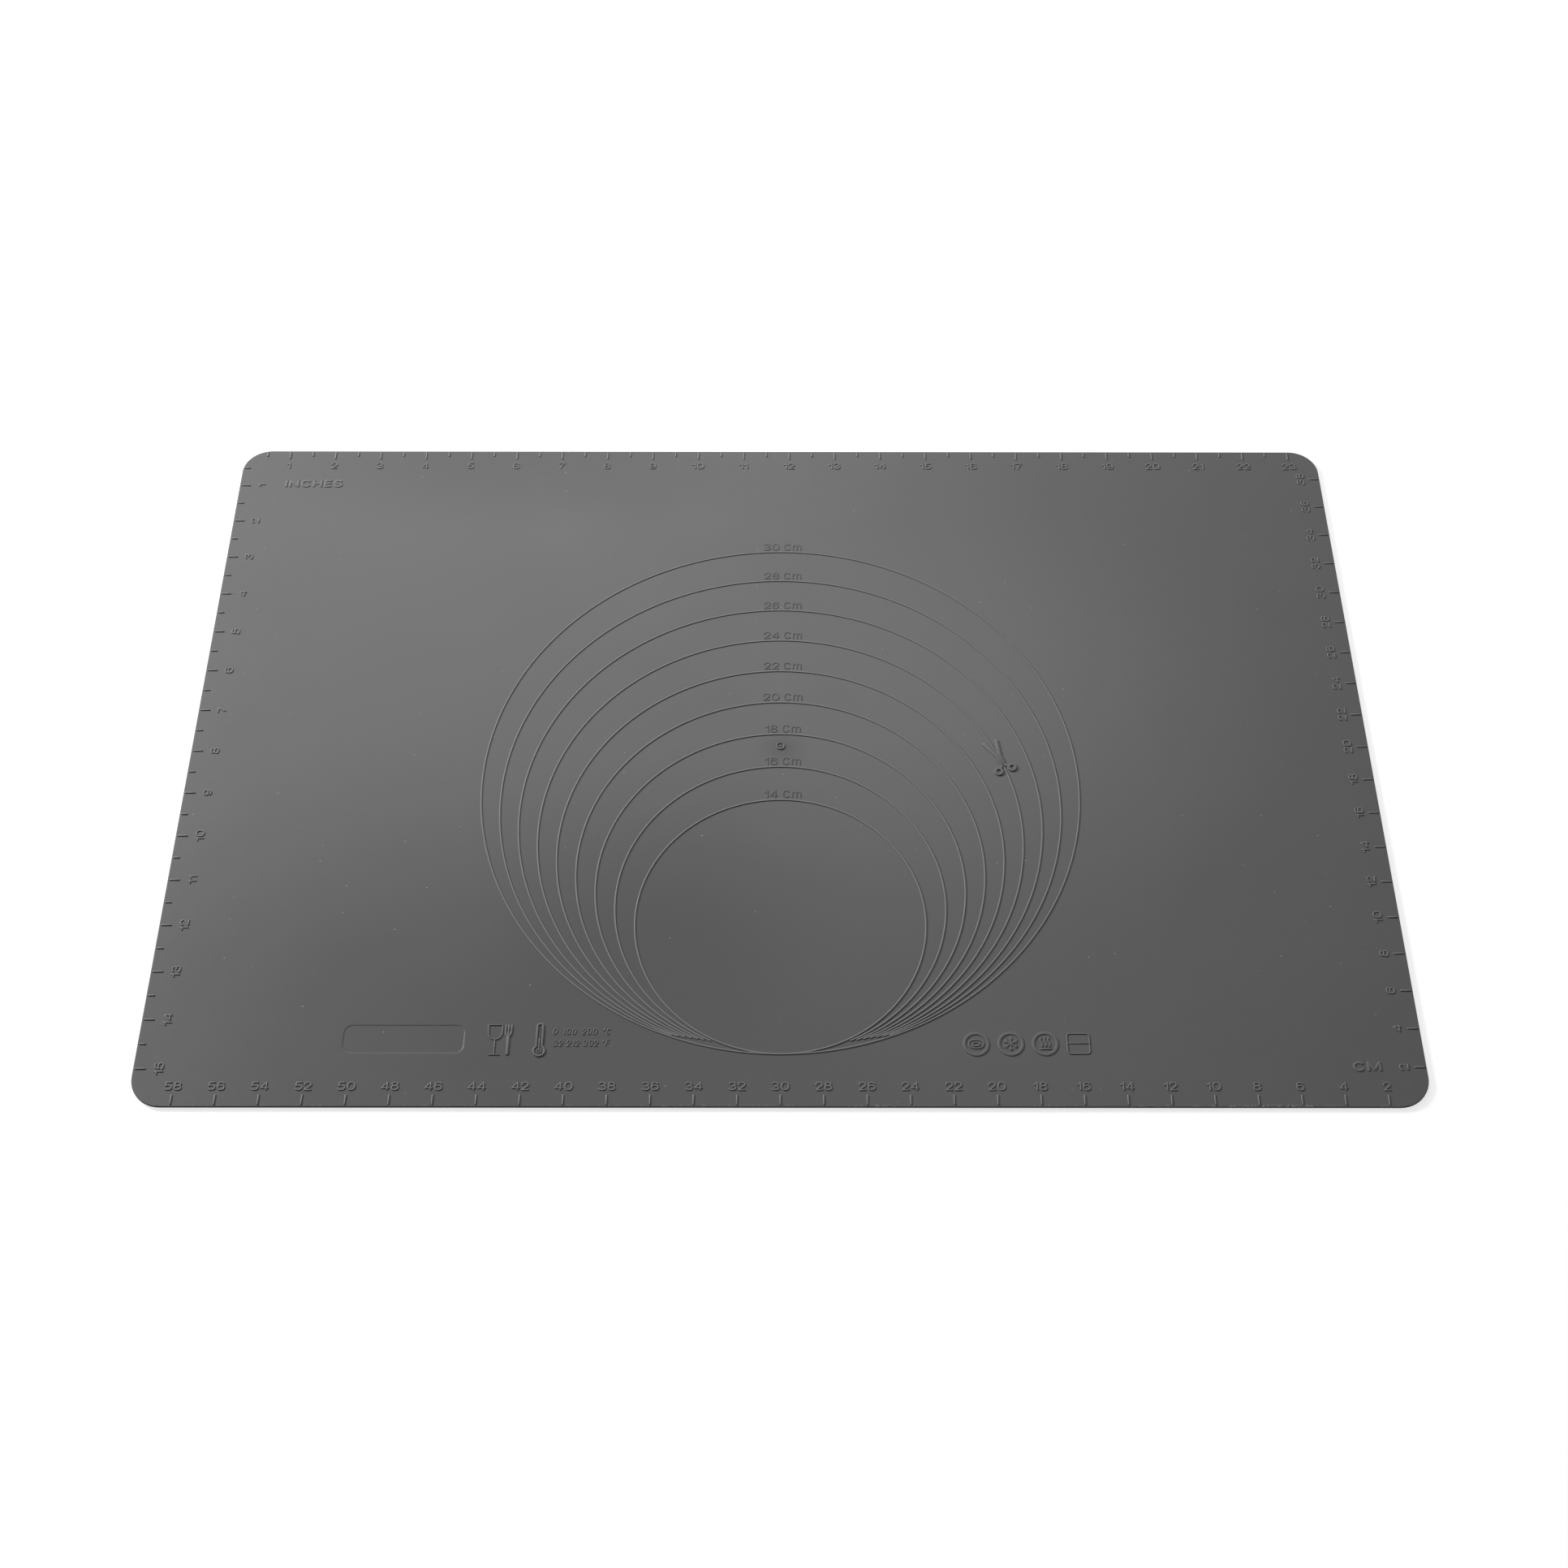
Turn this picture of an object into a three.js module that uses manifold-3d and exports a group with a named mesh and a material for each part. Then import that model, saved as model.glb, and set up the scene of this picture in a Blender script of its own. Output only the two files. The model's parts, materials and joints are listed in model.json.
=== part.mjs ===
// Silicone baking mat: one thin sheet with moulded scales along its four edges
// and a nest of guide circles that all touch at one point near the front edge.
// Millimetres, +Z up. The origin is under the middle of the sheet, +X runs along
// its long side to the right and +Y from the front edge to the back.
import * as THREE from 'three';
import { mergeGeometries, mergeVertices } from 'three/addons/utils/BufferGeometryUtils.js';
import Module from 'manifold-3d';

// Sheet
const SHEET_LENGTH = 600;
const SHEET_DEPTH = 400;
const SHEET_THICKNESS = 1.5;
const SHEET_CORNER_RADIUS = 15;
const SHEET_EDGE_ROUND = 0.4;

// Tick ribs of the scales
const TICK_WIDTH = 0.8;
const TICK_HEIGHT = 0.4;
const TICK_ROOT = 0.3;
const TICK_EDGE_GAP = 0.3;
const HALF_INCH = 12.7;
const INCH_TICK_LENGTH = 5.3;
const HALF_INCH_TICK_LENGTH = 3.4;
const CENTIMETRE_TICK_SPACING = 20;
const CENTIMETRE_TICK_LENGTH = 5.4;

// Guide circles: a round of dough fits inside the rib, so the diameter is the rib's inner edge
const CIRCLE_COUNT = 9;
const SMALLEST_CIRCLE = 140;
const CIRCLE_STEP = 20;
const CIRCLES_FROM_FRONT = 26.6;
const CIRCLE_RIB_WIDTH = 0.8;
const CIRCLE_RIB_HEIGHT = 0.4;
const CIRCLE_RIB_GAP = 0.2;

// Blank panel sunk into the sheet near the front left
const PANEL_LENGTH = 56.4;
const PANEL_DEPTH = 14.4;
const PANEL_CORNER_RADIUS = 4;
const PANEL_SUNK = 0.25;
const PANEL_LEFT_OF_MIDDLE = 176;
const PANEL_FROM_FRONT = 34.3;

// Facets
const CORNER_FACETS = 8;
const EDGE_FACETS = 2;
const RIB_FACETS = 2;
const CIRCLE_SAG = 0.08;

const wasm = await Module();
wasm.setup();

// Closed three.js geometry to solid
function solidFrom(geometry) {
  const bare = geometry.clone();
  bare.deleteAttribute('normal');
  bare.deleteAttribute('uv');
  const merged = mergeVertices(bare);
  const vertProperties = new Float32Array(merged.attributes.position.array);
  const triVerts = new Uint32Array(merged.index.array);
  return new wasm.Manifold(new wasm.Mesh({ numProp: 3, vertProperties, triVerts }));
}

// Solid back to three.js geometry
function geometryFrom(solid) {
  const mesh = solid.getMesh();
  const geometry = new THREE.BufferGeometry();
  geometry.setAttribute('position', new THREE.BufferAttribute(mesh.vertProperties, mesh.numProp));
  geometry.setIndex(new THREE.BufferAttribute(mesh.triVerts, 1));
  geometry.computeVertexNormals();
  return geometry;
}

// Rectangle with rounded corners, centred on the origin
function roundedRectangle(length, depth, radius) {
  const x = length / 2 - radius;
  const y = depth / 2 - radius;
  const outline = new THREE.Shape();
  outline.absarc(x, y, radius, 0, Math.PI / 2);
  outline.absarc(-x, y, radius, Math.PI / 2, Math.PI);
  outline.absarc(-x, -y, radius, Math.PI, 1.5 * Math.PI);
  outline.absarc(x, -y, radius, 1.5 * Math.PI, 2 * Math.PI);
  outline.closePath();
  return outline;
}

// Half-round section of a rib standing on y = 0, with a root below it
function ribSection(width, height, root) {
  const section = new THREE.Shape();
  section.moveTo(-width / 2, -root);
  section.lineTo(width / 2, -root);
  section.absellipse(0, 0, width / 2, height, 0, Math.PI);
  section.closePath();
  return section;
}

// Plain sheet, from z = 0 up, with its upper and lower edges rounded
function plainSheet() {
  const outline = roundedRectangle(SHEET_LENGTH, SHEET_DEPTH, SHEET_CORNER_RADIUS);
  const slab = new THREE.ExtrudeGeometry(outline, {
    depth: SHEET_THICKNESS - 2 * SHEET_EDGE_ROUND,
    bevelThickness: SHEET_EDGE_ROUND,
    bevelSize: SHEET_EDGE_ROUND,
    bevelOffset: -SHEET_EDGE_ROUND,
    bevelSegments: EDGE_FACETS,
    curveSegments: CORNER_FACETS,
  });
  return slab.translate(0, 0, SHEET_EDGE_ROUND);
}

// Hollow of the blank panel
function panelHollow() {
  const outline = roundedRectangle(PANEL_LENGTH, PANEL_DEPTH, PANEL_CORNER_RADIUS);
  const hollow = new THREE.ExtrudeGeometry(outline, {
    depth: 2 * PANEL_SUNK,
    bevelEnabled: false,
    curveSegments: CORNER_FACETS,
  });
  const y = PANEL_FROM_FRONT - SHEET_DEPTH / 2;
  return hollow.translate(-PANEL_LEFT_OF_MIDDLE, y, SHEET_THICKNESS - PANEL_SUNK);
}

// How far the sheet's edge draws back where its corner rounds, at a distance along the edge
function cornerDrawback(distance) {
  const past = Math.max(SHEET_CORNER_RADIUS - distance, 0);
  return SHEET_CORNER_RADIUS - Math.sqrt(SHEET_CORNER_RADIUS ** 2 - past ** 2);
}

// Rib of one tick, running from the sheet's edge inwards
function tickRib(scale, index) {
  const distance = index * scale.spacing;
  const inset = SHEET_EDGE_ROUND + TICK_EDGE_GAP + cornerDrawback(distance);
  const rib = new THREE.ExtrudeGeometry(ribSection(TICK_WIDTH, TICK_HEIGHT, TICK_ROOT), {
    depth: scale.tickLength(index),
    bevelEnabled: false,
    curveSegments: RIB_FACETS,
  });
  rib.rotateX(Math.PI / 2);
  rib.rotateZ(Math.atan2(scale.inward.x, -scale.inward.y));
  const foot = scale.zero.clone();
  foot.addScaledVector(scale.along, distance);
  foot.addScaledVector(scale.inward, inset);
  return rib.translate(foot.x, foot.y, SHEET_THICKNESS);
}

// Ribs of one scale, as far as the corner at its other end
function scaleRibs(scale) {
  const count = Math.floor((scale.span - SHEET_CORNER_RADIUS) / scale.spacing);
  return Array.from({ length: count }, (_, step) => tickRib(scale, step + 1));
}

// Two inch scales start at the back left corner, two centimetre scales at the front right one
function allScales() {
  const backLeft = new THREE.Vector2(-SHEET_LENGTH / 2, SHEET_DEPTH / 2);
  const frontRight = backLeft.clone().negate();
  const right = new THREE.Vector2(1, 0);
  const left = new THREE.Vector2(-1, 0);
  const back = new THREE.Vector2(0, 1);
  const front = new THREE.Vector2(0, -1);
  const inches = {
    zero: backLeft,
    spacing: HALF_INCH,
    tickLength: (index) => (index % 2 === 0 ? INCH_TICK_LENGTH : HALF_INCH_TICK_LENGTH),
  };
  const centimetres = {
    zero: frontRight,
    spacing: CENTIMETRE_TICK_SPACING,
    tickLength: () => CENTIMETRE_TICK_LENGTH,
  };
  return [
    { ...inches, along: right, inward: front, span: SHEET_LENGTH },
    { ...inches, along: front, inward: right, span: SHEET_DEPTH },
    { ...centimetres, along: left, inward: back, span: SHEET_LENGTH },
    { ...centimetres, along: back, inward: left, span: SHEET_DEPTH },
  ];
}

// Sheet with its tick ribs and the sunk panel
function matSheet() {
  const ticks = mergeGeometries(allScales().flatMap(scaleRibs));
  const sheet = solidFrom(plainSheet()).add(solidFrom(ticks));
  return geometryFrom(sheet.subtract(solidFrom(panelHollow())));
}

// Arc round the origin in the plane z = 0, anticlockwise
class FlatArc extends THREE.Curve {
  constructor(radius, start, sweep) {
    super();
    this.radius = radius;
    this.start = start;
    this.sweep = sweep;
  }

  getPoint(t, target = new THREE.Vector3()) {
    const angle = this.start + t * this.sweep;
    return target.set(this.radius * Math.cos(angle), this.radius * Math.sin(angle), 0);
  }
}

// Steps that keep a circle's chords within the sag
function circleSteps(radius) {
  return Math.ceil((2 * Math.PI * radius) / Math.sqrt(8 * radius * CIRCLE_SAG));
}

// Rib all the way round
function closedRib(radius) {
  const section = ribSection(CIRCLE_RIB_WIDTH, CIRCLE_RIB_HEIGHT, 0).getPoints(RIB_FACETS);
  const profile = section.map((point) => new THREE.Vector2(radius + point.x, point.y));
  return new THREE.LatheGeometry(profile, circleSteps(radius)).rotateX(Math.PI / 2);
}

// Rib that stops at an angle on either side of the shared point. Swept along a flat
// path, the section's x points down and its y to the left, hence the quarter turn.
function openRib(radius, trim) {
  const section = ribSection(CIRCLE_RIB_WIDTH, CIRCLE_RIB_HEIGHT, 0).getPoints(RIB_FACETS);
  const turned = section.map((point) => new THREE.Vector2(-point.y, point.x));
  return new THREE.ExtrudeGeometry(new THREE.Shape(turned), {
    steps: circleSteps(radius),
    extrudePath: new FlatArc(radius, trim - Math.PI / 2, 2 * (Math.PI - trim)),
  });
}

// Angle from the shared point, seen from the middle of one circle, past which its rib
// stands clear of another circle that touches it there
function partingAngle(radius, other) {
  const offset = radius - other;
  const reach = other + Math.sign(offset) * (CIRCLE_RIB_WIDTH + CIRCLE_RIB_GAP);
  return Math.acos((radius ** 2 + offset ** 2 - reach ** 2) / (2 * radius * offset));
}

// The largest circle is whole. Each of the others stops where its rib would run into
// the next smaller one or into the largest.
function circleRib(radii, index) {
  const radius = radii[index];
  const largest = radii[radii.length - 1];
  if (radius === largest) {
    return closedRib(radius);
  }
  const neighbours = index === 0 ? [largest] : [radii[index - 1], largest];
  const trim = Math.max(...neighbours.map((other) => partingAngle(radius, other)));
  return openRib(radius, trim);
}

function silicone() {
  return new THREE.MeshStandardMaterial({ color: 0x6a6a6a, roughness: 0.75, metalness: 0 });
}

function namedMesh(name, geometry) {
  const mesh = new THREE.Mesh(geometry, silicone());
  mesh.name = name;
  return mesh;
}

const mat = new THREE.Group();
mat.add(namedMesh('mat_sheet', matSheet()));

// Circles stand on the sheet, numbered from the smallest
const circleRadii = Array.from({ length: CIRCLE_COUNT }, (_, index) => {
  const diameter = SMALLEST_CIRCLE + index * CIRCLE_STEP;
  return (diameter + CIRCLE_RIB_WIDTH) / 2;
});
circleRadii.forEach((radius, index) => {
  const circle = namedMesh(`guide_circle_${index + 1}`, circleRib(circleRadii, index));
  circle.position.set(0, CIRCLES_FROM_FRONT - SHEET_DEPTH / 2 + radius, SHEET_THICKNESS);
  mat.add(circle);
});

export default mat;
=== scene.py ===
"""Silicone baking mat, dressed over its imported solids.

The file goes the way the mat is laid out: the sheet and its skin, the ribs and numbers of the four
scales, the guide circles with their labels, the small signs, and then the table, the light and the camera.
Sizes in the sections are millimetres in the mat's own frame and turn into metres where a mesh is made.
"""
import json
import math

import bmesh
import bpy
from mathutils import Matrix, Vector

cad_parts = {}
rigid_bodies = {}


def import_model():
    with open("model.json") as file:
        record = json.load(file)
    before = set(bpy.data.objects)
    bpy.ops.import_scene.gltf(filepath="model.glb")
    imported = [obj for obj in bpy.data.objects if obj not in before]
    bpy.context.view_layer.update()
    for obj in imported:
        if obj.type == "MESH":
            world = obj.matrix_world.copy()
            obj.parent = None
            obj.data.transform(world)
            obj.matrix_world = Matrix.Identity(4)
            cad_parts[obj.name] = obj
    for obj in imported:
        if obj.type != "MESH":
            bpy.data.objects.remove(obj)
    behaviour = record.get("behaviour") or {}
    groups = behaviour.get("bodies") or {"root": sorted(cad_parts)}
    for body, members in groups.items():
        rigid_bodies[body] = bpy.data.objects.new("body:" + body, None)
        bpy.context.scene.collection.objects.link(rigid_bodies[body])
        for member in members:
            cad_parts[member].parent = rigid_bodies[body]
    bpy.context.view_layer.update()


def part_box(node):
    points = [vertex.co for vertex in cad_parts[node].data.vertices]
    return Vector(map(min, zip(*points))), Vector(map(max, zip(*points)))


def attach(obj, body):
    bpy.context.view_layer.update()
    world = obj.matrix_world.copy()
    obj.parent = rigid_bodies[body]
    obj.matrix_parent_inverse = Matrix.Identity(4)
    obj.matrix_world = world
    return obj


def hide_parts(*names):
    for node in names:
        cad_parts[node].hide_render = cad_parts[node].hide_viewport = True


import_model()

# Sheet
# One plate of dark grey silicone rubber, cured in a flat steel tool. Its corners are rounded, its
# edge is broken by a small radius, and a blank panel is sunk into the face near the front left.
MM = 0.001
sheet_low, sheet_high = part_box("mat_sheet")
SHEET_LENGTH = (sheet_high.x - sheet_low.x) / MM
SHEET_DEPTH = (sheet_high.y - sheet_low.y) / MM
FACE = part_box("guide_circle_1")[0].z / MM
SHEET_CORNER_RADIUS = 15.0
SHEET_CORNER_STEPS = 12
SHEET_EDGE_ROUND = 0.22
SHEET_EDGE_STEPS = 4
FLAT_MARGIN = 0.5
PANEL_MIDDLE = (-176.1, -165.7)
PANEL_LENGTH = 56.4
PANEL_DEPTH = 14.4
PANEL_CORNER_RADIUS = 4.0
PANEL_CORNER_STEPS = 8
PANEL_SUNK = 0.13
PANEL_WALL = 0.4
PANEL_WALL_STEPS = 6


def rounded_outline(middle, length, depth, radius, steps):
    """Corner points of a rounded rectangle, anticlockwise seen from above."""
    corners = ((1, 1, 0), (-1, 1, 90), (-1, -1, 180), (1, -1, 270))
    points = []
    for side_x, side_y, first in corners:
        corner_x = middle[0] + side_x * (length / 2 - radius)
        corner_y = middle[1] + side_y * (depth / 2 - radius)
        for step in range(steps + 1):
            angle = math.radians(first + 90 * step / steps)
            points.append((corner_x + radius * math.cos(angle), corner_y + radius * math.sin(angle)))
    return points


def lofted_rings(mesh, outline, rings):
    """Edge loops at each (inset, height) of an outline, joined by quads in the order given."""
    middle, length, depth, radius, steps = outline
    loops = []
    for inset, height in rings:
        points = rounded_outline(middle, length - 2 * inset, depth - 2 * inset, radius - inset, steps)
        loops.append([mesh.verts.new((x * MM, y * MM, height * MM)) for x, y in points])
    for lower, upper in zip(loops, loops[1:]):
        for here in range(len(lower)):
            there = (here + 1) % len(lower)
            mesh.faces.new((lower[here], lower[there], upper[there], upper[here]))
    return loops


def loop_edges(mesh, loop):
    """The edges round a loop of vertices, made where they are missing."""
    pairs = zip(loop, loop[1:] + loop[:1])
    return [mesh.edges.get(pair) or mesh.edges.new(pair) for pair in pairs]


def edge_profile():
    """(inset, height) from the underside, round the broken edge, to the face."""
    under = []
    for step in range(SHEET_EDGE_STEPS + 1):
        turn = math.pi / 2 * step / SHEET_EDGE_STEPS
        under.append((SHEET_EDGE_ROUND * (1 - math.sin(turn)), SHEET_EDGE_ROUND * (1 - math.cos(turn))))
    over = [(inset, FACE - height) for inset, height in reversed(under)]
    margin = SHEET_EDGE_ROUND + FLAT_MARGIN
    return [(margin, 0.0)] + under + over + [(margin, FACE)]


def panel_profile():
    """(inset, height) from the face down the soft wall of the sunk panel to its floor."""
    wall = []
    for step in range(PANEL_WALL_STEPS + 1):
        share = step / PANEL_WALL_STEPS
        fall = share * share * (3 - 2 * share)
        wall.append((PANEL_WALL * (share - 0.5), FACE - PANEL_SUNK * fall))
    brim = (-PANEL_WALL / 2 - FLAT_MARGIN, FACE)
    floor = (PANEL_WALL / 2 + FLAT_MARGIN, FACE - PANEL_SUNK)
    return [brim] + wall + [floor]


def sheet_mesh():
    """The plate with its broken edge and the sunk panel, one closed mesh; wall and underside take slot 1."""
    mesh = bmesh.new()
    outline = ((0.0, 0.0), SHEET_LENGTH, SHEET_DEPTH, SHEET_CORNER_RADIUS, SHEET_CORNER_STEPS)
    edge_loops = lofted_rings(mesh, outline, edge_profile())
    panel = (PANEL_MIDDLE, PANEL_LENGTH, PANEL_DEPTH, PANEL_CORNER_RADIUS, PANEL_CORNER_STEPS)
    panel_loops = lofted_rings(mesh, panel, panel_profile())
    mesh.faces.new(list(reversed(edge_loops[0])))
    mesh.faces.new(panel_loops[-1])
    rims = loop_edges(mesh, edge_loops[-1]) + loop_edges(mesh, panel_loops[0])
    bmesh.ops.triangle_fill(mesh, use_beauty=True, edges=rims)
    bmesh.ops.recalc_face_normals(mesh, faces=mesh.faces)
    wall_top = (FACE - SHEET_EDGE_ROUND) * MM
    for face in mesh.faces:
        lowest = min(corner.co.z for corner in face.verts)
        face.smooth = True
        face.material_index = int(lowest < wall_top)
    plate = bpy.data.meshes.new("silicone_sheet")
    mesh.to_mesh(plate)
    mesh.free()
    return plate


def feed_node(tree, node, inputs):
    """Fills inputs of a node, by name or by number, each with a socket to link or with a plain value."""
    for key, value in inputs.items():
        if isinstance(value, bpy.types.NodeSocket):
            tree.links.new(value, node.inputs[key])
        else:
            node.inputs[key].default_value = value
    return node


def place_node(tree, kind, inputs=None, **settings):
    """A new node with these settings of its own and these inputs."""
    node = tree.nodes.new(kind)
    for name, value in settings.items():
        setattr(node, name, value)
    return feed_node(tree, node, inputs or {})


def group_tree(family, name, inputs, outputs):
    """An empty node group with these sockets, each label with its kind, and its two end nodes."""
    tree = bpy.data.node_groups.new(name, family + "NodeTree")
    for way, sockets in (("INPUT", inputs), ("OUTPUT", outputs)):
        for label, kind in sockets.items():
            tree.interface.new_socket(label, in_out=way, socket_type="NodeSocket" + kind)
    return tree, place_node(tree, "NodeGroupInput"), place_node(tree, "NodeGroupOutput")


def sum_node(tree, operation, first, second):
    """A Math node; each side is a socket or a plain number."""
    return place_node(tree, "ShaderNodeMath", {0: first, 1: second}, operation=operation).outputs["Value"]


def fade_node(tree, value, bottom, top, low, high, course="LINEAR"):
    """Maps a value from one range to another and holds it at the ends."""
    inputs = {"Value": value, "From Min": bottom, "From Max": top, "To Min": low, "To Max": high}
    return place_node(tree, "ShaderNodeMapRange", inputs, interpolation_type=course).outputs["Result"]


def noise_node(tree, place, scale, detail):
    """Fractal noise on a place, from 0 to 1."""
    inputs = {"Vector": place, "Scale": scale, "Detail": detail}
    return place_node(tree, "ShaderNodeTexNoise", inputs).outputs["Fac"]


def mix_node(tree, share, first, second, blend="MIX"):
    """One colour with a share of another mixed in, or multiplied by it."""
    inputs = {"Factor": share, "A": first, "B": second}
    mixed = place_node(tree, "ShaderNodeMix", inputs, data_type="RGBA", blend_type=blend)
    return mixed.outputs["Result"]


# Skin: waves of each pattern to the metre, then how much of each goes into tone, grain and gloss.
CLOUD_SCALE = 15.0
MOTTLE_SCALE = 260.0
PORE_SCALE = 900.0
GRAIN_SCALE = 2400.0
SPECK_SCALE = 75.0
CLOUD_SWING = 4.0
MOTTLE_SHARE = 0.6
PORE_SHARE = 0.8
GLOSS_SWING = 0.16
SMALLEST_SPECK = 0.012
LARGEST_SPECK = 0.032


def moulded_skin_group():
    """Skin of cured silicone: cloudy tone, fine blasted grain, uneven gloss and a few specks of dust."""
    inputs = dict.fromkeys(("Cloudiness", "Speck Share", "Mean Roughness"), "Float")
    outputs = dict.fromkeys(("Tone", "Specks", "Roughness", "Grain"), "Float")
    tree, given, result = group_tree("Shader", "moulded_skin", inputs, outputs)
    place = place_node(tree, "ShaderNodeTexCoord").outputs["Object"]
    cloud = sum_node(tree, "SUBTRACT", noise_node(tree, place, CLOUD_SCALE, 4.0), 0.5)
    mottle = sum_node(tree, "SUBTRACT", noise_node(tree, place, MOTTLE_SCALE, 3.0), 0.5)
    drift = sum_node(tree, "ADD", cloud, sum_node(tree, "MULTIPLY", mottle, MOTTLE_SHARE))
    depth = sum_node(tree, "MULTIPLY", given.outputs["Cloudiness"], CLOUD_SWING)
    swing = sum_node(tree, "MULTIPLY", drift, depth)
    fine = noise_node(tree, place, GRAIN_SCALE, 2.0)
    pores = noise_node(tree, place, PORE_SCALE, 2.0)
    gloss = sum_node(tree, "MULTIPLY", drift, GLOSS_SWING)
    spread = {"Vector": place, "Scale": SPECK_SCALE}
    cells = place_node(tree, "ShaderNodeTexVoronoi", spread, voronoi_dimensions="2D", feature="F1")
    parts = place_node(tree, "ShaderNodeSeparateColor", {"Color": cells.outputs["Color"]})
    chosen = sum_node(tree, "LESS_THAN", parts.outputs["Red"], given.outputs["Speck Share"])
    reach = fade_node(tree, parts.outputs["Green"], 0.0, 1.0, SMALLEST_SPECK, LARGEST_SPECK)
    near = sum_node(tree, "SUBTRACT", 1.0, sum_node(tree, "DIVIDE", cells.outputs["Distance"], reach))
    dot = fade_node(tree, near, 0.0, 0.5, 0.0, 1.0)
    feed_node(tree, result, {
        "Tone": sum_node(tree, "ADD", swing, 1.0),
        "Specks": sum_node(tree, "MULTIPLY", chosen, dot),
        "Roughness": sum_node(tree, "ADD", given.outputs["Mean Roughness"], gloss),
        "Grain": sum_node(tree, "ADD", fine, sum_node(tree, "MULTIPLY", pores, PORE_SHARE)),
    })
    return tree


MOULDED_SKIN = moulded_skin_group()
SILICONE_GREY = (0.085, 0.085, 0.085, 1.0)
# Painted highlight: the crests of raised marks are painted towards this paler grey.
CREST_HIGHLIGHT_GREY = (0.175, 0.175, 0.175, 1.0)
DUST_GREY = (0.34, 0.34, 0.33, 1.0)
SILICONE_IOR = 1.41
# Flow marks left round the gate as the tool was filled: middle, half lengths, turn, change of tone.
FLOW_MARKS = (
    ((1.0, -1.0), (17.0, 13.0), 0, -0.5),
    ((0.0, 40.0), (9.0, 34.0), 0, 0.06),
    ((28.0, 30.0), (22.0, 16.0), 25, -0.07),
    ((-28.0, 32.0), (22.0, 16.0), -25, -0.05),
    ((62.0, -36.0), (30.0, 10.0), -22, 0.06),
    ((-62.0, -36.0), (30.0, 10.0), 22, 0.06),
    ((42.0, 4.0), (30.0, 11.0), 0, 0.06),
    ((-42.0, 4.0), (30.0, 11.0), 0, 0.06),
    ((-2.0, -50.0), (24.0, 42.0), 0, 0.05),
)
# Painted light and shade, in broad soft patches matched to the photograph's uneven light: middle, half
# lengths, change.
PAINTED_LIGHT_PATCHES = (
    ((-150.0, -150.0), (300.0, 170.0), -0.4),
    ((110.0, 30.0), (180.0, 160.0), 0.32),
    ((-60.0, -90.0), (110.0, 100.0), -0.2),
    ((-150.0, 200.0), (180.0, 70.0), -0.3),
)


def tone_patch(tree, place, middle, half_lengths, turn, gradient):
    """An oval patch on the face: 1 in its middle, 0 from its rim outwards."""
    patch = place_node(tree, "ShaderNodeMapping", {
        "Vector": place,
        "Location": (middle[0] * MM, middle[1] * MM, FACE * MM),
        "Rotation": (0.0, 0.0, math.radians(turn)),
        "Scale": (half_lengths[0] * MM, half_lengths[1] * MM, 1.0),
    }, vector_type="TEXTURE")
    inside = {"Vector": patch.outputs["Vector"]}
    return place_node(tree, "ShaderNodeTexGradient", inside, gradient_type=gradient).outputs["Fac"]


def flow_tone(tree, place):
    """Tone of the flow marks round the gate, and painted light and shade in broad patches over the sheet."""
    total = 1.0
    for middle, half_lengths, turn, change in FLOW_MARKS:
        patch = tone_patch(tree, place, middle, half_lengths, turn, "QUADRATIC_SPHERE")
        total = sum_node(tree, "ADD", sum_node(tree, "MULTIPLY", patch, change), total)
    # Painted light and shade: broad patches that lighten and darken the face.
    for middle, half_lengths, change in PAINTED_LIGHT_PATCHES:
        patch = tone_patch(tree, place, middle, half_lengths, 0, "SPHERICAL")
        swell = fade_node(tree, patch, 0.0, 1.0, 0.0, change, "SMOOTHSTEP")
        total = sum_node(tree, "ADD", swell, total)
    return total


# Wear on the front edge: how far in it reaches, where along the edge it grows and from what share,
# and the scale and limits of the noise that breaks it into flecks and stretches.
WEAR_FULL_TO = 0.2
WEAR_GONE_AT = 1.3
WEAR_GROWS = (-100.0, 100.0)
WEAR_LEFT_SHARE = 0.35
FLECK_SCALE = 1100.0
FLECK_LIMITS = (0.53, 0.63)
STRETCH_SCALE = 24.0
STRETCH_LIMITS = (0.36, 0.56)


def edge_wear(tree, place):
    """Light flecks where the front edge has been handled, most of them on the right."""
    axes = place_node(tree, "ShaderNodeSeparateXYZ", {"Vector": place}).outputs
    from_front = sum_node(tree, "ADD", axes["Y"], SHEET_DEPTH / 2 * MM)
    band = fade_node(tree, from_front, WEAR_FULL_TO * MM, WEAR_GONE_AT * MM, 1.0, 0.0)
    left, right = WEAR_GROWS
    handled = fade_node(tree, axes["X"], left * MM, right * MM, WEAR_LEFT_SHARE, 1.0)
    flecks = fade_node(tree, noise_node(tree, place, FLECK_SCALE, 2.0), *FLECK_LIMITS, 0.0, 1.0)
    stretches = fade_node(tree, noise_node(tree, place, STRETCH_SCALE, 2.0), *STRETCH_LIMITS, 0.0, 1.0)
    spread = sum_node(tree, "MULTIPLY", band, handled)
    return sum_node(tree, "MULTIPLY", spread, sum_node(tree, "MULTIPLY", flecks, stretches))


# Painted shade along the back edge: where it starts and where it is full, in from the edge, and its tone.
BACK_RIM_FROM = 0.8
BACK_RIM_TO = 0.3
BACK_RIM_SHADE = 0.4


def back_rim_tone(tree, place):
    """Painted shade along the back edge, darker where the broken edge turns away."""
    axes = place_node(tree, "ShaderNodeSeparateXYZ", {"Vector": place}).outputs
    back = SHEET_DEPTH / 2
    start, end = (back - BACK_RIM_FROM) * MM, (back - BACK_RIM_TO) * MM
    return fade_node(tree, axes["Y"], start, end, 1.0, BACK_RIM_SHADE)


# Heights above the face where the painted highlight on a raised mark starts and where it is full.
CROWN_FOOT = 0.1
CROWN_CREST = 0.32


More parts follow.
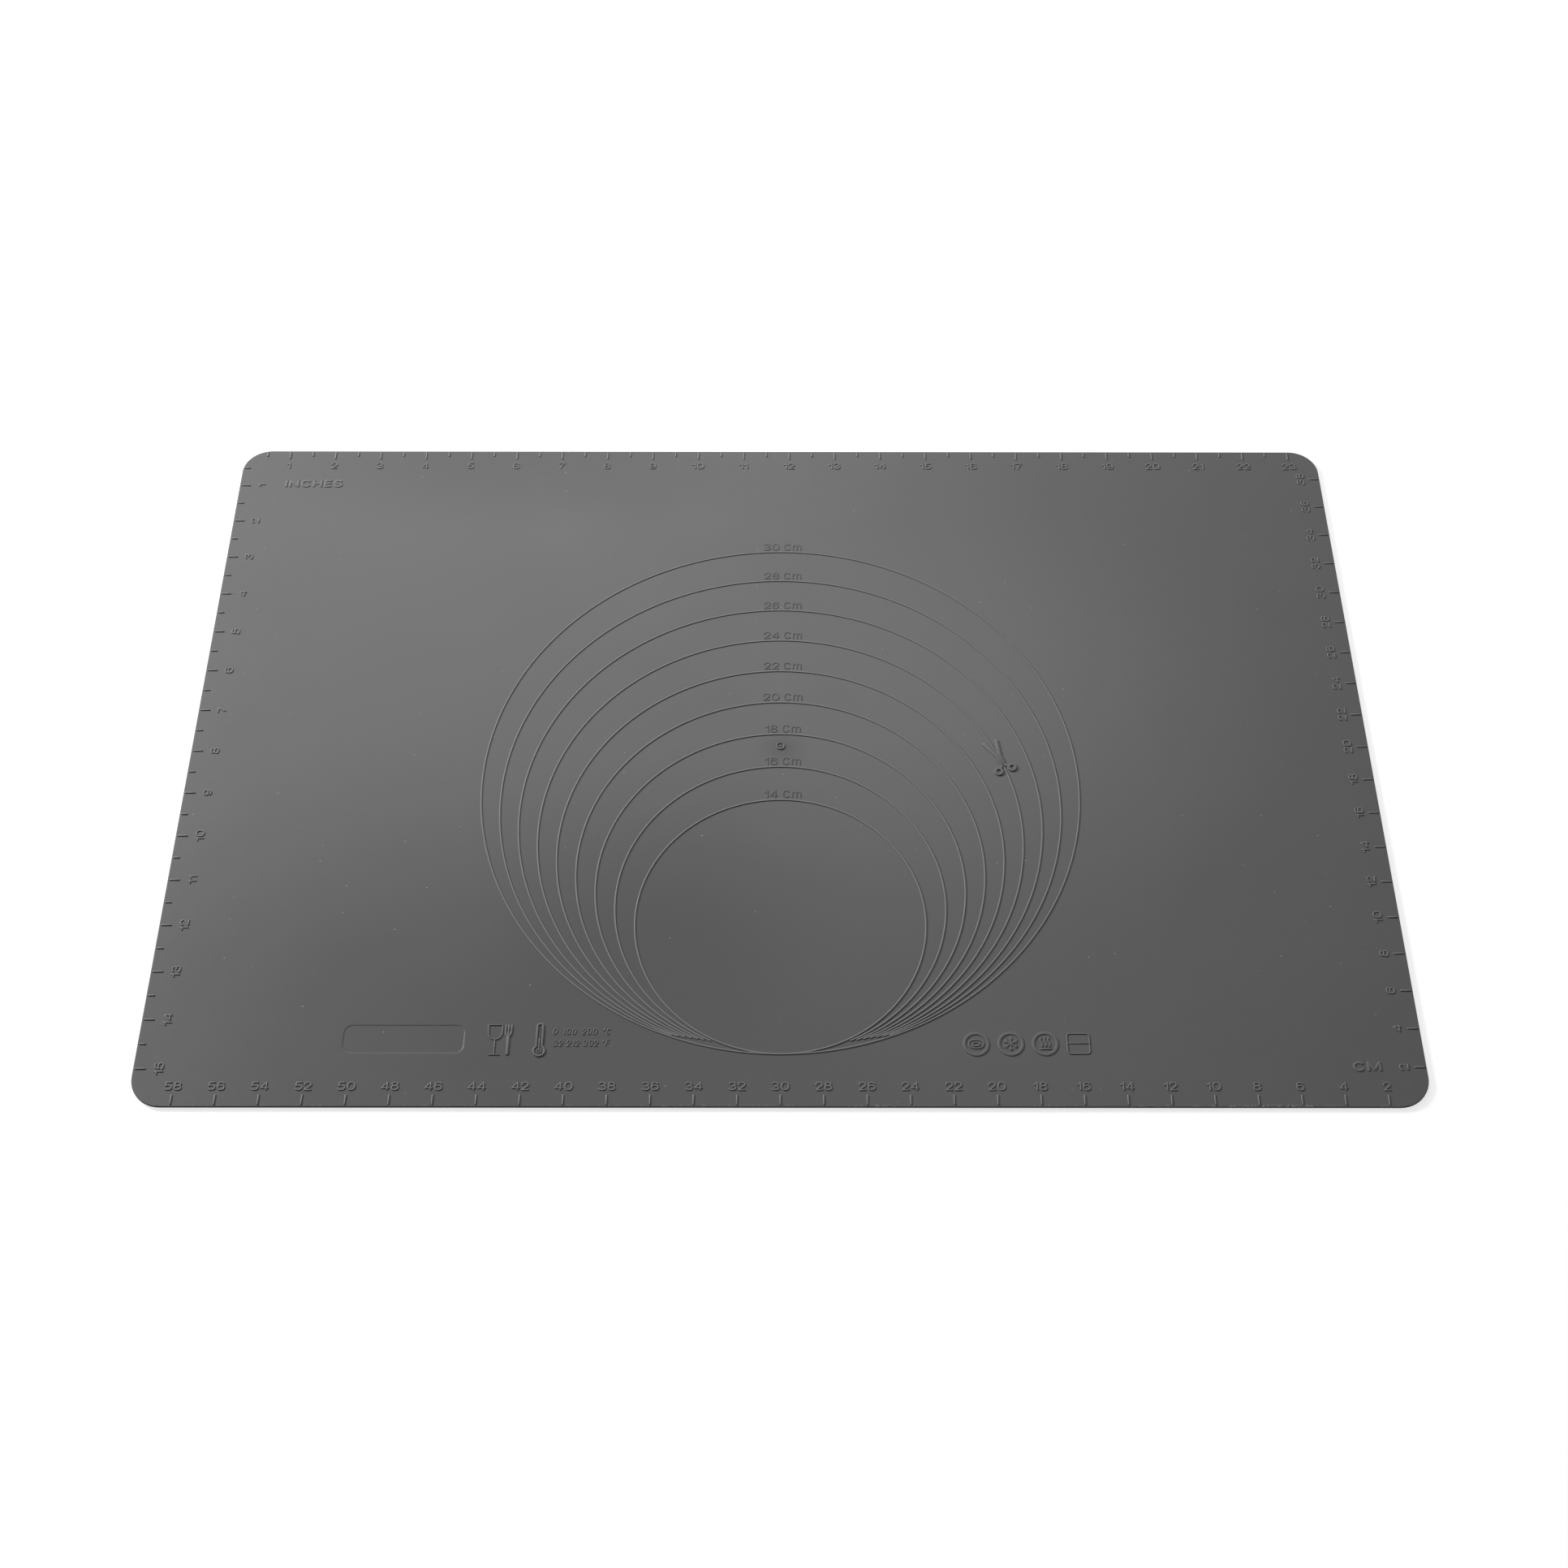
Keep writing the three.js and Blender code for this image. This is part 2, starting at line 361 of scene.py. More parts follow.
def rubbed_crown_group():
    """Painted highlight on a raised mark: how far its top is painted paler, nothing at its foot, the most at
    its crest.
    """
    tree, given, result = group_tree("Shader", "painted_crest_highlight", {"Most": "Float"}, {"Highlight": "Float"})
    place = place_node(tree, "ShaderNodeTexCoord").outputs["Object"]
    axes = place_node(tree, "ShaderNodeSeparateXYZ", {"Vector": place}).outputs
    foot, crest = (FACE + CROWN_FOOT) * MM, (FACE + CROWN_CREST) * MM
    height = fade_node(tree, axes["Z"], foot, crest, 0.0, 1.0)
    feed_node(tree, result, {"Highlight": sum_node(tree, "MULTIPLY", height, given.outputs["Most"])})
    return tree


PAINTED_CREST_HIGHLIGHT = rubbed_crown_group()
DUST_COVER = 0.7
GRAIN_STRENGTH = 0.5


def silicone(name, roughness, specular, grain_depth, cloudiness=0.03, speck_share=0.04, crest_highlight=None):
    """Dark grey silicone with the moulded skin. Raised marks have a painted highlight, paler towards their
    crests; without one it is the sheet's face, with its flow marks, edge wear, painted shade along the back
    edge and painted light and shade in broad patches."""
    material = bpy.data.materials.new(name)
    material.use_nodes = True
    tree = material.node_tree
    shares = {"Cloudiness": cloudiness, "Speck Share": speck_share, "Mean Roughness": roughness}
    skin = place_node(tree, "ShaderNodeGroup", shares, node_tree=MOULDED_SKIN).outputs
    tone = skin["Tone"]
    dust = skin["Specks"]
    if crest_highlight is None:
        place = place_node(tree, "ShaderNodeTexCoord").outputs["Object"]
        # Flow marks, and painted light and shade in broad patches over the face.
        tone = sum_node(tree, "MULTIPLY", tone, flow_tone(tree, place))
        # Painted shade along the back edge.
        tone = sum_node(tree, "MULTIPLY", tone, back_rim_tone(tree, place))
        dust = sum_node(tree, "MAXIMUM", dust, edge_wear(tree, place))
    colour = mix_node(tree, 1.0, SILICONE_GREY, tone, "MULTIPLY")
    if crest_highlight is not None:
        # Painted highlight on the crest of a raised mark.
        highlit = place_node(tree, "ShaderNodeGroup", {"Most": crest_highlight}, node_tree=PAINTED_CREST_HIGHLIGHT)
        colour = mix_node(tree, highlit.outputs["Highlight"], colour, CREST_HIGHLIGHT_GREY)
    colour = mix_node(tree, sum_node(tree, "MULTIPLY", dust, DUST_COVER), colour, DUST_GREY)
    relief = {"Strength": GRAIN_STRENGTH, "Distance": grain_depth * MM, "Height": skin["Grain"]}
    feed_node(tree, tree.nodes["Principled BSDF"], {
        "Base Color": colour,
        "Roughness": skin["Roughness"],
        "IOR": SILICONE_IOR,
        "Specular IOR Level": specular,
        "Normal": place_node(tree, "ShaderNodeBump", relief).outputs["Normal"],
    })
    return material


MATT_SILICONE = silicone(
    "matt_silicone", roughness=0.50, specular=0.5, grain_depth=0.03, cloudiness=0.035, speck_share=0.10,
)
# Painted highlight on the crests: in full on ribs and numbers, in part on the signs, none on the wall.
EDGE_SILICONE = silicone("edge_silicone", roughness=0.70, specular=0.1, grain_depth=0.01, crest_highlight=0.0)
RIB_SILICONE = silicone("rib_silicone", roughness=0.50, specular=0.2, grain_depth=0.005, crest_highlight=1.0)
SIGN_SILICONE = silicone("sign_silicone", roughness=0.50, specular=0.2, grain_depth=0.005, crest_highlight=0.6)


def fix_piece(piece, *nodes):
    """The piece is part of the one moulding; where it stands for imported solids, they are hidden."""
    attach(piece, "root")
    if nodes:
        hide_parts(*nodes)
    return piece


def shown_piece(name, data):
    """A mesh, a lamp or a camera as an object of the scene, at the origin."""
    piece = bpy.data.objects.new(name, data)
    bpy.context.scene.collection.objects.link(piece)
    return piece


sheet = shown_piece("silicone_sheet", sheet_mesh())
sheet.data.materials.append(MATT_SILICONE)
sheet.data.materials.append(EDGE_SILICONE)
fix_piece(sheet, "mat_sheet")

# Tick ribs
# The ticks of the scales are short ribs with sloping sides and a rounded crest, cut into the tool as
# grooves and moulded with the sheet. Inches run from the back left corner, centimetres from the front right.
# A cut is the width, the relief and the edge round of a raised stroke, here as in the sections below.
TICK_CUT = (0.75, 0.36, 0.25)
TICK_START = 0.7
INCH = 25.4
INCH_TICK = 5.3
HALF_INCH_TICK = 3.4
CENTIMETRE_TICK = 5.4
CENTIMETRE_SPACING = 20.0
# Every rib and stroke: how far a side runs out for its height, the narrowest crest, the step down from
# one stroke of a mark to the next, so that no two crests lie in one plane, and the facets of its rounds.
SIDE_RUN = 0.68
LEAST_CREST = 0.15
STROKE_STEP = 0.004
CREST_STEPS = 3
ROUND_END_STEPS = 3
ROUND_END_BLUNT = 0.1
RIB_SIZES = dict.fromkeys(("Width", "Height", "Edge Round"), "Float")
GEOMETRY_OUT = {"Geometry": "Geometry"}


def rib_sweep_tree():
    """A rib along a curve: sides that slope like the cutter, a rounded crest, and a root below the curve."""
    inputs = {"Curve": "Geometry"} | RIB_SIZES
    tree, given, result = group_tree("Geometry", "rib_sweep", inputs, GEOMETRY_OUT)
    width = given.outputs["Width"]
    height = given.outputs["Height"]
    sides = sum_node(tree, "MULTIPLY", height, 2 * SIDE_RUN)
    crest = sum_node(tree, "MAXIMUM", sum_node(tree, "SUBTRACT", width, sides), LEAST_CREST * MM)
    section = place_node(tree, "GeometryNodeCurvePrimitiveQuadrilateral", {
        "Bottom Width": sum_node(tree, "SUBTRACT", sum_node(tree, "MULTIPLY", width, 2.0), crest),
        "Top Width": crest,
        "Height": sum_node(tree, "MULTIPLY", height, 2.0),
        "Offset": 0.0,
    }, mode="TRAPEZOID")
    rounded = place_node(tree, "GeometryNodeFilletCurve", {
        "Curve": section.outputs["Curve"],
        "Radius": given.outputs["Edge Round"],
        "Count": CREST_STEPS,
        "Limit Radius": True,
    }, mode="POLY")
    taper = place_node(tree, "GeometryNodeInputNamedAttribute", {"Name": "taper"}, data_type="FLOAT")
    path = {"Curve": given.outputs["Curve"]}
    upright = place_node(tree, "GeometryNodeSetCurveNormal", path, mode="Z_UP")
    sweep = place_node(tree, "GeometryNodeCurveToMesh", {
        "Curve": upright.outputs["Curve"],
        "Profile Curve": rounded.outputs["Curve"],
        "Scale": taper.outputs["Attribute"],
        "Fill Caps": True,
    })
    feed_node(tree, result, {"Geometry": sweep.outputs["Mesh"]})
    return tree


RIB_SWEEP = rib_sweep_tree()


def close_tree(tree, made, given, result):
    """Ends a tree: what it made is smoothed, made real and painted."""
    smooth = place_node(tree, "GeometryNodeSetShadeSmooth", {"Geometry": made})
    real = place_node(tree, "GeometryNodeRealizeInstances", {"Geometry": smooth.outputs["Geometry"]})
    coat = {"Geometry": real.outputs["Geometry"], "Material": given.outputs["Material"]}
    painted = place_node(tree, "GeometryNodeSetMaterial", coat)
    feed_node(tree, result, {"Geometry": painted.outputs["Geometry"]})
    return tree


def swept_rib(tree, given, curve):
    """The rib along a curve, in the sizes given to the tree."""
    inputs = {"Curve": curve} | {label: given.outputs[label] for label in RIB_SIZES}
    return place_node(tree, "GeometryNodeGroup", inputs, node_tree=RIB_SWEEP).outputs["Geometry"]


def moulded_lines_tree():
    """Ribs along drawn lines: the raised strokes of ticks, numbers, letters and signs."""
    inputs = {"Lines": "Geometry"} | RIB_SIZES | {"Material": "Material"}
    tree, given, result = group_tree("Geometry", "moulded_lines", inputs, GEOMETRY_OUT)
    curve = place_node(tree, "GeometryNodeMeshToCurve", {"Mesh": given.outputs["Lines"]})
    return close_tree(tree, swept_rib(tree, given, curve.outputs["Curve"]), given, result)


MOULDED_LINES = moulded_lines_tree()


def made_plain(name, mesh, tree, values):
    """The mesh that a tree makes of another mesh, with its inputs set by identifier."""
    maker = shown_piece(name + "_maker", mesh)
    nodes = maker.modifiers.new("maker", "NODES")
    nodes.node_group = tree
    for item in tree.interface.items_tree:
        if item.name in values:
            nodes[item.identifier] = values[item.name]
    depsgraph = bpy.context.evaluated_depsgraph_get()
    plain = bpy.data.meshes.new_from_object(maker.evaluated_get(depsgraph))
    plain.name = name
    bpy.data.objects.remove(maker)
    return plain


def drawn_lines(name, strokes, width, base):
    """Edges along each stroke; an open stroke gets tapering points that round its two ends."""
    points = []
    edges = []
    tapers = []
    for order, stroke in enumerate(strokes):
        closed = stroke[0] == stroke[-1]
        level = (base - order * STROKE_STEP) * MM
        run = [(x, y, 1.0) for x, y in (stroke[:-1] if closed else stroke)]
        if not closed:
            head = round_end(stroke[1], stroke[0], width)[::-1]
            tail = round_end(stroke[-2], stroke[-1], width)
            run = head + run + tail
        first = len(points)
        points.extend((x * MM, y * MM, level) for x, y, taper in run)
        tapers.extend(taper for x, y, taper in run)
        edges.extend((step, step + 1) for step in range(first, len(points) - 1))
        if closed:
            edges.append((len(points) - 1, first))
    lines = bpy.data.meshes.new(name + "_lines")
    lines.from_pydata(points, edges, [])
    lines.attributes.new("taper", "FLOAT", "POINT").data.foreach_set("value", tapers)
    return lines


def round_end(before, last, width):
    """Points past the end of a stroke with the taper that closes it in a half round."""
    length = math.dist(before, last)
    ahead = ((last[0] - before[0]) / length, (last[1] - before[1]) / length)
    tips = []
    for step in range(1, ROUND_END_STEPS + 1):
        turn = math.pi / 2 * step / (ROUND_END_STEPS + ROUND_END_BLUNT)
        reach = width / 2 * math.sin(turn)
        tips.append((last[0] + ahead[0] * reach, last[1] + ahead[1] * reach, math.cos(turn)))
    return tips


def rib_values(cut, material):
    """Inputs for a tree of ribs: the sizes of a cut in metres, and the material."""
    return dict(zip(RIB_SIZES, (size * MM for size in cut))) | {"Material": material}


def moulded_lines(name, strokes, cut, base=FACE, material=RIB_SILICONE):
    """Mesh of raised strokes of one cut, standing on the face."""
    lines = drawn_lines(name, strokes, cut[0], base)
    return made_plain(name, lines, MOULDED_LINES, rib_values(cut, material))


def row_of_marks_tree():
    """Sets one mark of a collection on each point, picked by the point's mark number and turned."""
    inputs = {"Places": "Geometry", "Marks": "Collection", "Turn": "Float", "Material": "Material"}
    tree, given, result = group_tree("Geometry", "row_of_marks", inputs, GEOMETRY_OUT)
    marks = place_node(tree, "GeometryNodeCollectionInfo", {
        "Collection": given.outputs["Marks"],
        "Separate Children": True,
        "Reset Children": True,
    })
    number = place_node(tree, "GeometryNodeInputNamedAttribute", {"Name": "mark"}, data_type="INT")
    angles = place_node(tree, "ShaderNodeCombineXYZ", {"Z": given.outputs["Turn"]})
    turn = place_node(tree, "FunctionNodeEulerToRotation", {"Euler": angles.outputs["Vector"]})
    settled = place_node(tree, "GeometryNodeInstanceOnPoints", {
        "Points": given.outputs["Places"],
        "Instance": marks.outputs["Instances"],
        "Pick Instance": True,
        "Instance Index": number.outputs["Attribute"],
        "Rotation": turn.outputs["Rotation"],
    })
    return close_tree(tree, settled.outputs["Instances"], given, result)


ROW_OF_MARKS = row_of_marks_tree()


def mark_set(name, marks):
    """A collection of moulded marks in the order given, as (strokes, cut) each."""
    chest = bpy.data.collections.new(name)
    bpy.context.scene.collection.children.link(chest)
    for number, (strokes, cut) in enumerate(marks):
        label = f"{name}_{number:02d}"
        mesh = moulded_lines(label, strokes, cut, base=0.0)
        chest.objects.link(bpy.data.objects.new(label, mesh))
    return chest


def row_of_marks(name, places, marks, turn):
    """A piece with a mark of the set on each (x, y, mark number), all turned by the same angle."""
    spots = bpy.data.meshes.new(name + "_places")
    spots.from_pydata([(x * MM, y * MM, FACE * MM) for x, y, number in places], [], [])
    numbers = [number for x, y, number in places]
    spots.attributes.new("mark", "INT", "POINT").data.foreach_set("value", numbers)
    values = {"Marks": marks, "Turn": math.radians(turn), "Material": RIB_SILICONE}
    return fix_piece(shown_piece(name, made_plain(name, spots, ROW_OF_MARKS, values)))


def put_away(chest):
    """Removes a set of marks once its rows are made."""
    for mark in list(chest.objects):
        bpy.data.objects.remove(mark)
    bpy.data.collections.remove(chest)


def corner_drawback(distance):
    """How far the rounded corner pulls the edge in at this distance along a side."""
    past = max(SHEET_CORNER_RADIUS - distance, 0.0)
    return SHEET_CORNER_RADIUS - math.sqrt(SHEET_CORNER_RADIUS ** 2 - past ** 2)


def tick_places(span, spacing, zero, along, inward, marks):
    """Where the ticks of one scale start, counted from its zero corner to the corner at its other end."""
    places = []
    for index in range(1, int((span - SHEET_CORNER_RADIUS) / spacing) + 1):
        distance = index * spacing
        inset = TICK_START + corner_drawback(distance)
        x = zero[0] + along[0] * distance + inward[0] * inset
        y = zero[1] + along[1] * distance + inward[1] * inset
        places.append((x, y, marks[index % len(marks)]))
    return places


def tick_stroke(length):
    """A tick that starts at its place and runs along +Y, inside its own round ends."""
    half = TICK_CUT[0] / 2
    return ([[(0.0, half), (0.0, length - half)]], TICK_CUT)


RIGHT = (1, 0)
LEFT = (-1, 0)
BACK = (0, 1)
FRONT = (0, -1)
BACK_LEFT = (-SHEET_LENGTH / 2, SHEET_DEPTH / 2)
FRONT_RIGHT = (SHEET_LENGTH / 2, -SHEET_DEPTH / 2)
ticks = mark_set("tick", [tick_stroke(length) for length in (INCH_TICK, HALF_INCH_TICK, CENTIMETRE_TICK)])
# Each scale: its name, span and spacing, its zero corner, the ways along and inward, its ticks, their turn.
SCALES = (
    ("inches_back", SHEET_LENGTH, INCH / 2, BACK_LEFT, RIGHT, FRONT, (0, 1), 180),
    ("inches_left", SHEET_DEPTH, INCH / 2, BACK_LEFT, FRONT, RIGHT, (0, 1), -90),
    ("centimetres_front", SHEET_LENGTH, CENTIMETRE_SPACING, FRONT_RIGHT, LEFT, BACK, (2,), 0),
    ("centimetres_right", SHEET_DEPTH, CENTIMETRE_SPACING, FRONT_RIGHT, BACK, LEFT, (2,), 90),
)
for name, *scale, turn in SCALES:
    row_of_marks(f"ticks_{name}", tick_places(*scale), ticks, turn)
put_away(ticks)

# Scale numbers
# Wide plain numerals in raised strokes of one width, with the same sloping sides as the ticks. Inches are
# numbered one by one, centimetres two by two; those on the short sides are turned to be read from the right.
NUMERAL_SIZE = (3.0, 3.75)
NUMERAL_CUT = (0.64, 0.31, 0.2)
NUMERAL_GAP = 1.3
CENTIMETRE = 10.0
# Each row: its name, where its zero lies, one unit along it, units to a number, its last number, its turn.
NUMBER_ROWS = (
    ("inches_back", (BACK_LEFT[0], 189.1), (INCH, 0.0), 1, 23, 0),
    ("inches_left", (-287.9, BACK_LEFT[1]), (0.0, -INCH), 1, 15, 90),
    ("centimetres_front", (FRONT_RIGHT[0], -189.8), (-CENTIMETRE, 0.0), 2, 58, 0),
    ("centimetres_right", (289.4, FRONT_RIGHT[1]), (0.0, CENTIMETRE), 2, 38, 90),
)
LEAST_BOW_STEPS = 4
BOW_STEP = 20.0
BOW_FULLNESS = 2.0 / 2.25


def bow(middle_x, middle_y, half_x, half_y, start, end):
    """Points along a full oval between two angles in degrees, clockwise where the end is smaller."""
    steps = max(LEAST_BOW_STEPS, round(abs(end - start) / BOW_STEP))
    points = []
    for step in range(steps + 1):
        angle = math.radians(start + (end - start) * step / steps)
        out_x = math.copysign(abs(math.cos(angle)) ** BOW_FULLNESS, math.cos(angle))
        out_y = math.copysign(abs(math.sin(angle)) ** BOW_FULLNESS, math.sin(angle))
        points.append((middle_x + half_x * out_x, middle_y + half_y * out_y))
    if abs(end - start) == 360:
        points[-1] = points[0]
    return points


def turned_round(strokes):
    """Strokes of a unit cell turned by half a turn."""
    return [[(1 - x, 1 - y) for x, y in stroke] for stroke in strokes]


LEFT_STEM = [(0.0, 0.0), (0.0, 1.0)]
RIGHT_STEM = [(1.0, 0.0), (1.0, 1.0)]
TOP_BAR = [(0.0, 1.0), (1.0, 1.0)]
FOOT_BAR = [(0.0, 0.0), (1.0, 0.0)]
SIX = [bow(0.5, 0.6, 0.5, 0.4, 28, 180) + [(0.0, 0.31)], bow(0.5, 0.31, 0.5, 0.31, 0, 360)]
FIVE = [[(0.93, 1.0), (0.16, 1.0)], [(0.16, 1.0), (0.06, 0.5)], bow(0.47, 0.31, 0.53, 0.31, 140, -160)]
CAPITAL_M = [LEFT_STEM, [(0.0, 1.0), (0.5, 0.1)], [(0.5, 0.1), (1.0, 1.0)], [(1.0, 1.0), (1.0, 0.0)]]
SMALL_M = [
    [(0.0, 0.0), (0.0, 0.8)],
    bow(0.25, 0.48, 0.25, 0.32, 180, 0) + [(0.5, 0.0)],
    bow(0.75, 0.48, 0.25, 0.32, 180, 0) + [(1.0, 0.0)],
]
# Each sign: its width as a share of the cell, and its strokes in a cell one wide and one high. The sign
# under the letter o is the degree ring.
SIGNS = {
    "0": (1.1, [bow(0.5, 0.5, 0.5, 0.5, 0, 360)]),
    "1": (0.46, [bow(0.0, 1.0, 1.0, 0.28, 270, 360), [(1.0, 1.0), (1.0, 0.0)]]),
    "2": (0.95, [bow(0.5, 0.71, 0.5, 0.29, 188, -38) + [(0.0, 0.0)], FOOT_BAR]),
    "3": (1.0, [bow(0.47, 0.755, 0.45, 0.245, 165, -90), bow(0.47, 0.265, 0.53, 0.265, 90, -165)]),
    "4": (1.08, [[(0.76, 0.0), (0.76, 1.0)], [(0.76, 1.0), (0.0, 0.25)], [(0.0, 0.25), (1.0, 0.25)]]),
    "5": (1.0, FIVE),
    "6": (1.0, SIX),
    "7": (1.0, [TOP_BAR, [(1.0, 1.0), (0.66, 0.62), (0.4, 0.3), (0.28, 0.0)]]),
    "8": (1.0, [bow(0.5, 0.77, 0.43, 0.23, 0, 360), bow(0.5, 0.27, 0.5, 0.27, 0, 360)]),
    "9": (1.0, turned_round(SIX)),
    "C": (1.05, [bow(0.5, 0.5, 0.5, 0.5, 42, 318)]),
    "E": (0.72, [LEFT_STEM, TOP_BAR, [(0.0, 0.52), (0.9, 0.52)], FOOT_BAR]),
    "F": (0.8, [LEFT_STEM, TOP_BAR, [(0.0, 0.52), (0.85, 0.52)]]),
    "H": (0.94, [LEFT_STEM, RIGHT_STEM, [(0.0, 0.5), (1.0, 0.5)]]),
    "I": (0.0, [LEFT_STEM]),
    "M": (1.28, CAPITAL_M),
    "N": (1.0, [LEFT_STEM, [(0.0, 1.0), (1.0, 0.0)], RIGHT_STEM]),
    "S": (0.9, [bow(0.5, 0.75, 0.46, 0.25, 25, 270) + bow(0.5, 0.25, 0.5, 0.25, 90, -155)[1:]]),
    "m": (1.36, SMALL_M),
    "o": (0.42, [bow(0.5, 0.84, 0.5, 0.16, 0, 360)]),
}


class Lettering:
    """Signs cut to one size and relief, set in lines centred on a point."""

    def __init__(self, name, signs, size, cut, gap, slant=0.0):
        self.signs = signs
        self.width, height = size
        self.gap = gap
        marks = []
        for sign in signs:
            share, lines = SIGNS[sign]
            wide = share * self.width
            strokes = []
            for line in lines:
                strokes.append([((x - 0.5) * wide + (y - 0.5) * slant, (y - 0.5) * height) for x, y in line])
            marks.append((strokes, cut))
        self.chest = mark_set(name, marks)

    def line(self, words, x, y, turn=0, space=0.0):
        """Places of a line's signs about its middle; each word is a string of signs."""
        advances = []
        reach = 0.0
        for word in words:
            for sign in word:
                wide = SIGNS[sign][0] * self.width
                advances.append((reach + wide / 2, self.signs.index(sign)))
                reach += wide + self.gap
            reach += space
        middle = (reach - space - self.gap) / 2
        ahead = (math.cos(math.radians(turn)), math.sin(math.radians(turn)))
        places = []
        for reached, mark in advances:
            far = reached - middle
            places.append((x + far * ahead[0], y + far * ahead[1], mark))
        return places

    def piece(self, name, places, turn=0):
        """One piece with all the signs placed."""
        return row_of_marks(name, places, self.chest, turn)


numerals = Lettering("numeral", "0123456789", NUMERAL_SIZE, NUMERAL_CUT, NUMERAL_GAP)
for name, zero, unit, apart, last, turn in NUMBER_ROWS:
    row = []
    for number in range(apart, last + 1, apart):
        x = zero[0] + number * unit[0]
        y = zero[1] + number * unit[1]
        row += numerals.line([str(number)], x, y, turn)
    numerals.piece(f"numbers_{name}", row, turn)
put_away(numerals.chest)

# Unit words
# The unit of each pair of scales stands once inside its zero corner, in bold flat capitals of a
# lower relief than the numbers, moulded with the sheet.
UNIT_SIZE = (4.25, 4.05)
UNIT_CUT = (1.28, 0.24, 0.15)
UNIT_GAP = 2.2
INCHES_MIDDLE = (-258.9, 176.0)
CENTIMETRES_MIDDLE = (272.4, -179.6)
capitals = Lettering("capital", "CEHIMNS", UNIT_SIZE, UNIT_CUT, UNIT_GAP)
capitals.piece("unit_word_inches", capitals.line(["INCHES"], *INCHES_MIDDLE))
capitals.piece("unit_word_centimetres", capitals.line(["CM"], *CENTIMETRES_MIDDLE))
put_away(capitals.chest)

# Guide circles
# Nine slim ribs, moulded with the sheet, one for each size of dough round, that all touch at one point near
# the front. The smallest and the largest close there; the others stop on a slanting line on either side.
CIRCLE_CUT = (0.82, 0.34, 0.22)
CIRCLE_STEPS = 240
CIRCLE_COUNT = 9
FIRST_END_X = 32.6
LAST_END_X = 51.0
SCISSORS_CIRCLE = 6
SCISSORS_GAP = (20.1, 23.3)
LEAST_ARC_STEPS = 8


def guide_circle_tree():
    """A rib along a whole circle or along an arc of it, about a middle on the mat's centre line."""
    sizes = dict.fromkeys(("Radius", "Middle", "Face", "Start", "Sweep"), "Float") | RIB_SIZES
    inputs = sizes | {"Steps": "Int", "Whole": "Bool", "Material": "Material"}
    tree, given, result = group_tree("Geometry", "guide_circle", inputs, GEOMETRY_OUT)
    line = {"Radius": given.outputs["Radius"], "Resolution": given.outputs["Steps"]}
    turns = {"Start Angle": given.outputs["Start"], "Sweep Angle": given.outputs["Sweep"]}
    arc = place_node(tree, "GeometryNodeCurveArc", line | turns, mode="RADIUS")
    circle = place_node(tree, "GeometryNodeCurvePrimitiveCircle", line, mode="RADIUS")
    choice = place_node(tree, "GeometryNodeSwitch", {
        "Switch": given.outputs["Whole"],
        "False": arc.outputs["Curve"],
        "True": circle.outputs["Curve"],
    }, input_type="GEOMETRY")
    full = place_node(tree, "GeometryNodeStoreNamedAttribute", {
        "Geometry": choice.outputs["Output"],
        "Name": "taper",
        "Value": 1.0,
    }, data_type="FLOAT", domain="POINT")
    middle = {"Y": given.outputs["Middle"], "Z": given.outputs["Face"]}
    shift = place_node(tree, "GeometryNodeTransform", {
        "Geometry": full.outputs["Geometry"],
        "Translation": place_node(tree, "ShaderNodeCombineXYZ", middle).outputs["Vector"],
    })
    return close_tree(tree, swept_rib(tree, given, shift.outputs["Geometry"]), given, result)


GUIDE_CIRCLE = guide_circle_tree()


def circle_spans(number, radius):
    """(start, sweep) in degrees of the arcs of one circle; a whole circle has none."""
    if number in (1, CIRCLE_COUNT):
        return []
    share = (number - 2) / (CIRCLE_COUNT - 3)
    end_x = FIRST_END_X + (LAST_END_X - FIRST_END_X) * share
    half_open = math.degrees(math.asin(end_x / radius))
    start, end = half_open - 90, 270 - half_open
    if number == SCISSORS_CIRCLE:
        return [(start, SCISSORS_GAP[0] - start), (SCISSORS_GAP[1], end - SCISSORS_GAP[1])]
    return [(start, end - start)]


def guide_circle(number):
    """One guide circle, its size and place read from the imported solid."""
    low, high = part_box(f"guide_circle_{number}")
    packed_rib = high.z - low.z
    radius = (high.x - low.x) / 2 - packed_rib
    values = rib_values(CIRCLE_CUT, RIB_SILICONE)
    values["Radius"] = radius
    values["Middle"] = high.y - packed_rib - radius
    values["Face"] = (FACE - number * STROKE_STEP) * MM
    rib = bmesh.new()
    for start, sweep in circle_spans(number, radius / MM) or [(0.0, 360.0)]:
        values["Start"] = math.radians(start)
        values["Sweep"] = math.radians(sweep)
        values["Whole"] = sweep == 360.0
        values["Steps"] = max(LEAST_ARC_STEPS, round(CIRCLE_STEPS * sweep / 360))
        arc = made_plain(f"guide_rib_{number}", bpy.data.meshes.new("empty"), GUIDE_CIRCLE, values)
        rib.from_mesh(arc)
    arc.clear_geometry()
    rib.to_mesh(arc)
    rib.free()
    return fix_piece(shown_piece(f"guide_rib_{number}", arc), f"guide_circle_{number}")


for number in range(1, CIRCLE_COUNT + 1):
    guide_circle(number)

